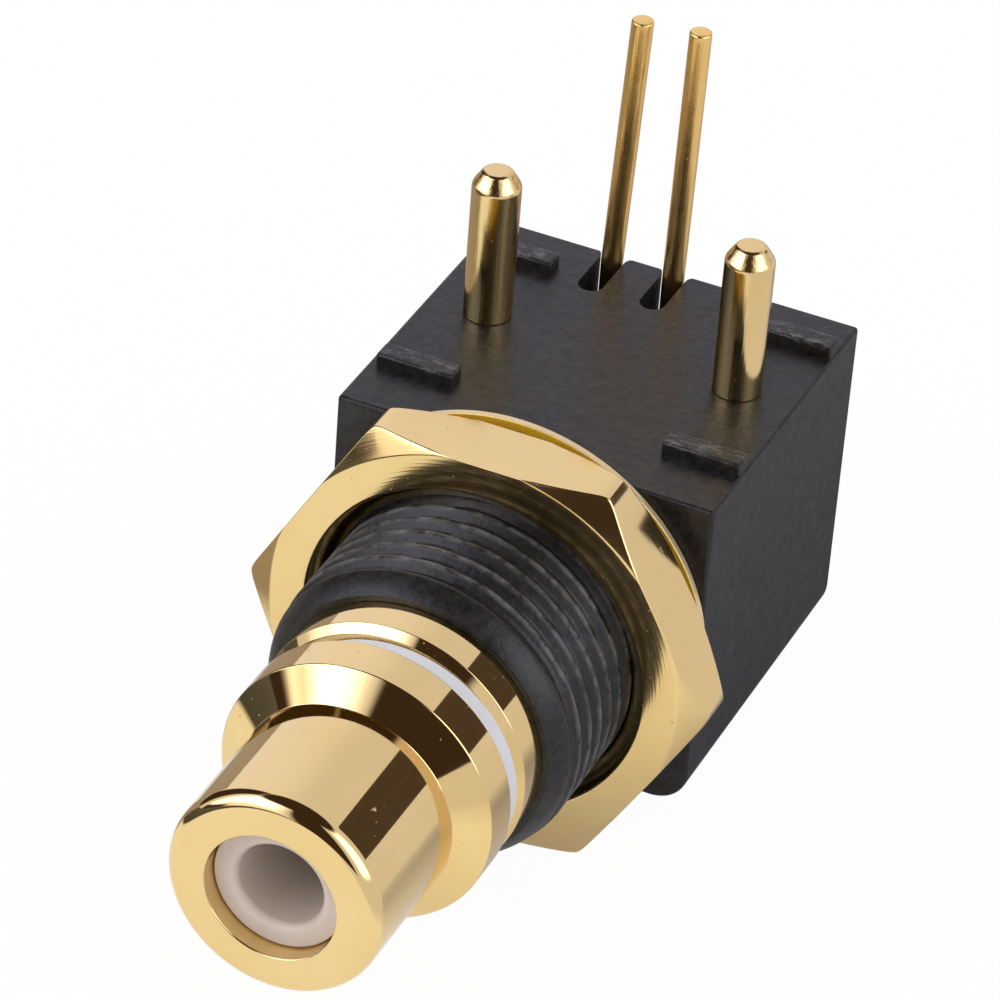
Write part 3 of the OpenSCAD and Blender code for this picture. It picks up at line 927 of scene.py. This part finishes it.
def make_tail(name, node, x, lean, top_z, material):
    """Round wire that runs back, bends up through its slot, leans above it and is cropped."""
    low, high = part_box(node)
    root_z = low.z + TAIL_R
    rise = high.z - TAIL_R * math.sin(lean) - root_z
    rings = tail_rings(high.y - low.y - TAIL_R, top_z - root_z, rise, lean)
    place = Matrix.Translation((x, low.y, root_z))
    verts = []
    for centre, direction, r in rings:
        lift = Vector((0, -math.sin(direction), math.cos(direction)))
        for k in range(TAIL_SEGMENTS):
            spoke = spoke_at(k / TAIL_SEGMENTS) * r
            verts.append(place @ (centre + Vector((spoke.x, 0, 0)) + lift * spoke.y))
    faces = stacked_bands(len(rings), TAIL_SEGMENTS)
    faces.append(tuple(ring_numbers(0, TAIL_SEGMENTS)))
    faces.append(tuple(reversed(ring_numbers(len(rings) - 1, TAIL_SEGMENTS))))
    piece = smooth_piece(name, verts, faces)
    face_outward(piece)
    weigh_normals(piece)
    return dress(piece, "socket", "gold_plate", material, node)


def make_card():
    """Dark card behind the socket, which the metal mirrors and the camera doesn't see."""
    direction = toward(CARD_AZIMUTH, CARD_ELEVATION)
    level = toward(CARD_AZIMUTH + 90, 0)
    upright = direction.cross(level)
    twist = math.radians(CARD_TWIST)
    across = level * math.cos(twist) + upright * math.sin(twist)
    rise = upright * math.cos(twist) - level * math.sin(twist)
    across *= CARD_DISTANCE * math.tan(math.radians(CARD_WIDTH / 2))
    rise *= CARD_DISTANCE * math.tan(math.radians(CARD_HEIGHT / 2))
    centre = direction * CARD_DISTANCE
    corners = [centre + across * i + rise * j for i, j in ((-1, -1), (1, -1), (1, 1), (-1, 1))]
    card = add_object("card_behind", plain_mesh("card_behind", corners, [(0, 1, 2, 3)]))
    card.visible_camera = False
    card.visible_shadow = False
    card.visible_diffuse = False
    shader = Shader("card_behind", Roughness=FLOOR_ROUGHNESS, Base_Color=(*CARD_COLOUR, 1))
    card.data.materials.append(shader.material)


def floor_painted_shade(shader):
    """Painted shade on the floor as metal mirrors it: bright in front of the socket, dimmer behind,
    darker on its left by the nut and lighter again far to its right.
    """
    x, y, _ = shader.split(shader.coordinate())
    back = shader.math("MULTIPLY", y, math.cos(SHADE_AZIMUTH))
    back = shader.math("MULTIPLY_ADD", x, math.sin(SHADE_AZIMUTH), back)
    tone = shader.ramp(shader.span(back, *SHADE_RUN), *SHADES)
    tone = shader.mix(shader.span(x, *RIGHT_TONE_X), tone, RIGHT_FLOOR_SHADE)
    left = shader.math("MULTIPLY", shader.span(x, *LEFT_TONE_X), shader.span(y, *LEFT_TONE_Y))
    tone = shader.mix(left, tone, LEFT_FLOOR_SHADE)
    lit_x = shader.span(x, *CORNER_X, low=CORNER_SHADE_LEVEL)
    lit = shader.math("MAXIMUM", lit_x, shader.span(y, *CORNER_Y))
    return shader.scale(tone, shader.node("ShaderNodeCombineXYZ", {0: lit, 1: lit, 2: lit}).outputs[0])


def make_floor(z):
    """White floor under the lowest point, which keeps a soft shadow."""
    corners = [(i * FLOOR_SIZE, j * FLOOR_SIZE, z) for i, j in ((-1, -1), (1, -1), (1, 1), (-1, 1))]
    floor = add_object("floor", plain_mesh("floor", corners, [(0, 1, 2, 3)]))
    shader = Shader("floor", Roughness=FLOOR_ROUGHNESS)
    path = shader.node("ShaderNodeLightPath").outputs
    mirrored = shader.math("MAXIMUM", path["Is Glossy Ray"], path["Is Transmission Ray"])
    # Metal mirrors the floor with painted shade on it.
    tone = floor_painted_shade(shader)
    shader.set("Base Color", shader.mix(mirrored, FLOOR_PAINT, tone))
    seen = shader.math("MULTIPLY", path["Is Camera Ray"], FLOOR_WHITE)
    share = shader.math("MAXIMUM", seen, shader.math("MULTIPLY", mirrored, FLOOR_MIRRORED))
    inputs = {"Color": shader.mix(mirrored, WHITE, tone), "Strength": 1.0}
    glow = shader.node("ShaderNodeEmission", inputs)
    inputs = {0: share, 1: shader.surface.outputs[0], 2: glow.outputs[0]}
    result = shader.node("ShaderNodeMixShader", inputs).outputs[0]
    shader.tree.links.new(result, shader.tree.nodes["Material Output"].inputs["Surface"])
    floor.data.materials.append(shader.material)


class Sky(Shader):
    """World: plain light on things, plain white where it is seen, areas of tone where mirrored."""

    def __init__(self):
        world = bpy.data.worlds.new("studio")
        bpy.context.scene.world = world
        world.use_nodes = True
        self.tree = world.node_tree
        self.surface = self.tree.nodes["Background"]
        self.x, self.y, z = self.split(self.coordinate("Generated"))
        self.height = self.math("ARCSINE", z)
        self.mirrored = MIRRORED_SKY

    def within(self, value, edge, soft):
        """1 where an angle is under an edge, fading to 0 beyond it."""
        start, end = math.radians(edge - soft), math.radians(edge + soft)
        return self.span(value, start, end, 1.0, 0.0, interpolation_type="SMOOTHSTEP")

    def area(self, colour, azimuth, reach, low, high, soft, fade):
        """Lays a colour over part of what is mirrored.

        reach is to either side of the azimuth, low and high are elevations, soft is the softness
        of the sides and fade that of the top and bottom.
        """
        a = math.radians(azimuth)
        across = self.math("MULTIPLY", self.x, math.cos(a))
        across = self.math("MULTIPLY_ADD", self.y, math.sin(a), across)
        forward = self.math("MULTIPLY", self.x, math.sin(a))
        forward = self.math("MULTIPLY_ADD", self.y, -math.cos(a), forward)
        aside = self.math("ABSOLUTE", self.math("ARCTAN2", across, forward))
        above = self.math("SUBTRACT", self.height, math.radians(middle(low, high)))
        inside = self.within(self.math("ABSOLUTE", above), (high - low) / 2, fade)
        share = self.math("MULTIPLY", self.within(aside, reach, soft), inside)
        self.mirrored = self.mix(share, self.mirrored, colour)

    def finish(self):
        path = self.node("ShaderNodeLightPath").outputs
        seen = self.math("MAXIMUM", path["Is Camera Ray"], path["Is Transmission Ray"])
        colour = self.mix(path["Is Glossy Ray"], (WORLD_LIGHT,) * 3, self.mirrored)
        self.set("Color", self.mix(seen, colour, WHITE))


def make_world():
    """Studio round the socket, as its polished metal shows it; a later area lies over an earlier."""
    sky = Sky()
    sky.area(MIRRORED_HAZE, azimuth=222, reach=26, low=-8, high=100, soft=18, fade=18)
    sky.area(MIRRORED_DARK, azimuth=90, reach=200, low=56, high=100, soft=3, fade=3)
    sky.area(MIRRORED_DARK, azimuth=250, reach=20, low=-30, high=56, soft=3, fade=3)
    sky.area(MIRRORED_WINDOW, azimuth=313, reach=25, low=7, high=53, soft=11, fade=3)
    sky.area(MIRRORED_WINDOW_FOOT, azimuth=320, reach=18, low=2, high=17, soft=10, fade=4)
    sky.area(MIRRORED_DARK, azimuth=14, reach=24.5, low=-3, high=62, soft=3, fade=2)
    sky.area(MIRRORED_DARK, azimuth=300, reach=15, low=-14, high=7, soft=3, fade=3)
    sky.area(MIRRORED_RIGHT_WINDOW, azimuth=80, reach=22, low=8, high=52, soft=5, fade=5)
    sky.finish()


def make_lamp():
    """Rectangular soft box in front, on the left, which the metal doesn't mirror."""
    direction = toward(LAMP_AZIMUTH, LAMP_ELEVATION)
    data = bpy.data.lights.new("softbox_front", "AREA")
    data.shape = "RECTANGLE"
    data.size, data.size_y = LAMP_SIZE
    data.energy = LAMP_RADIANCE * math.pi * LAMP_SIZE[0] * LAMP_SIZE[1]
    lamp = add_object("softbox_front", data)
    lamp.location = direction * LAMP_DISTANCE
    lamp.rotation_mode = "QUATERNION"
    lamp.rotation_quaternion = direction.to_track_quat("Z", "Y")
    lamp.visible_glossy = False


def make_camera():
    """Camera where the photograph was taken from."""
    back = toward(CAMERA_AZIMUTH, CAMERA_ELEVATION)
    level = toward(CAMERA_AZIMUTH + 90, 0)
    upright = back.cross(level)
    roll = math.radians(CAMERA_ROLL)
    right = level * math.cos(roll) - upright * math.sin(roll)
    up = level * math.sin(roll) + upright * math.cos(roll)
    low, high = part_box("outer_shell")
    mouth = Vector((0, low.y, middle(low.z, high.z)))
    eye = mouth + right * CAMERA_AIM_RIGHT + up * CAMERA_AIM_UP + back * CAMERA_DISTANCE
    data = bpy.data.cameras.new("camera")
    data.sensor_width = CAMERA_SENSOR
    data.lens = CAMERA_LENS
    data.clip_start = CAMERA_NEAR
    data.clip_end = CAMERA_FAR
    camera = add_object("camera", data)
    camera.matrix_world = Matrix.Translation(eye) @ Matrix((right, up, back)).transposed().to_4x4()
    bpy.context.scene.camera = camera


def make_pieces(axis_z, block_front, top_z):
    """Every piece that is detailed here, each with its material."""
    turned_gold = gold("turned_gold", axis_z, roughness=0.045, marks=0.00008)
    nut_gold = gold("nut_gold", axis_z, roughness=0.12, marks=0.0024)
    pin_gold = gold("pin_gold", roughness=0.14, drawn=0.012)
    wire_gold = gold("wire_gold", roughness=0.27, colour=WIRE_GOLD, drawn=0.02)
    # The washer's faces carry a painted gleam of light bounced between nut and washer.
    washer_gold_and_painted_gleam = gold("washer_gold_and_painted_gleam", roughness=0.4, colour=WASHER_FACE_PAINTED_GLEAM, metallic=0.4, rim=WASHER_RIM)
    moulded_black = black_plastic("moulded_black", axis_z, block_front, top_z)
    ring_white = pale_plastic("ring_white", RING_WHITE, roughness=0.35)
    milky = pale_plastic("milky", MILKY, roughness=0.4, subsurface=0.6)
    make_shell(turned_gold)
    make_tube("white_ring", "colour_ring", RING_HOLE_R, RING_EDGE, "socket", "white_plastic", ring_white)
    make_bush(turned_gold)
    make_insulator(milky)
    make_nut(nut_gold)
    make_tube("flat_washer", "washer", WASHER_HOLE_R, SOFT_EDGE, "washer", "gold_plate", washer_gold_and_painted_gleam)
    make_housing(axis_z, block_front, top_z, moulded_black)
    make_peg("peg_left", "left_peg", pin_gold)
    make_peg("peg_right", "right_peg", pin_gold)
    make_tail("tail_signal", "signal_tail", SIGNAL_X, SIGNAL_LEAN, top_z, wire_gold)
    make_tail("tail_ground", "ground_tail", GROUND_X, GROUND_LEAN, top_z, wire_gold)
    paint_node("centre_contact", turned_gold)
    paint_node("rear_insulator", milky)


def paint_node(node, material):
    """Gives its material to a CAD node that keeps its shape."""
    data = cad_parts[node].data
    data.materials.clear()
    data.materials.append(material)


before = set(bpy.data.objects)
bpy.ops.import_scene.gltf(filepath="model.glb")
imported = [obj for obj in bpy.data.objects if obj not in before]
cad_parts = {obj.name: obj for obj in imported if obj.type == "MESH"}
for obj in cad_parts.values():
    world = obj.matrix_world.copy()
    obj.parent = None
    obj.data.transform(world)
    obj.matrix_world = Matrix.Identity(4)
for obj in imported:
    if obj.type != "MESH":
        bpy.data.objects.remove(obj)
cad_low, cad_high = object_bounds()
shell_low, shell_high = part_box("outer_shell")
housing_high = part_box("housing")[1]

make_pieces(
    axis_z=middle(shell_low.z, shell_high.z),
    block_front=housing_high.y - BLOCK_DEPTH,
    top_z=housing_high.z - STANDOFF_HEIGHT,
)
make_floor(cad_low.z)
make_world()
make_lamp()
make_card()
make_camera()
bpy.context.scene.view_settings.view_transform = "Standard"
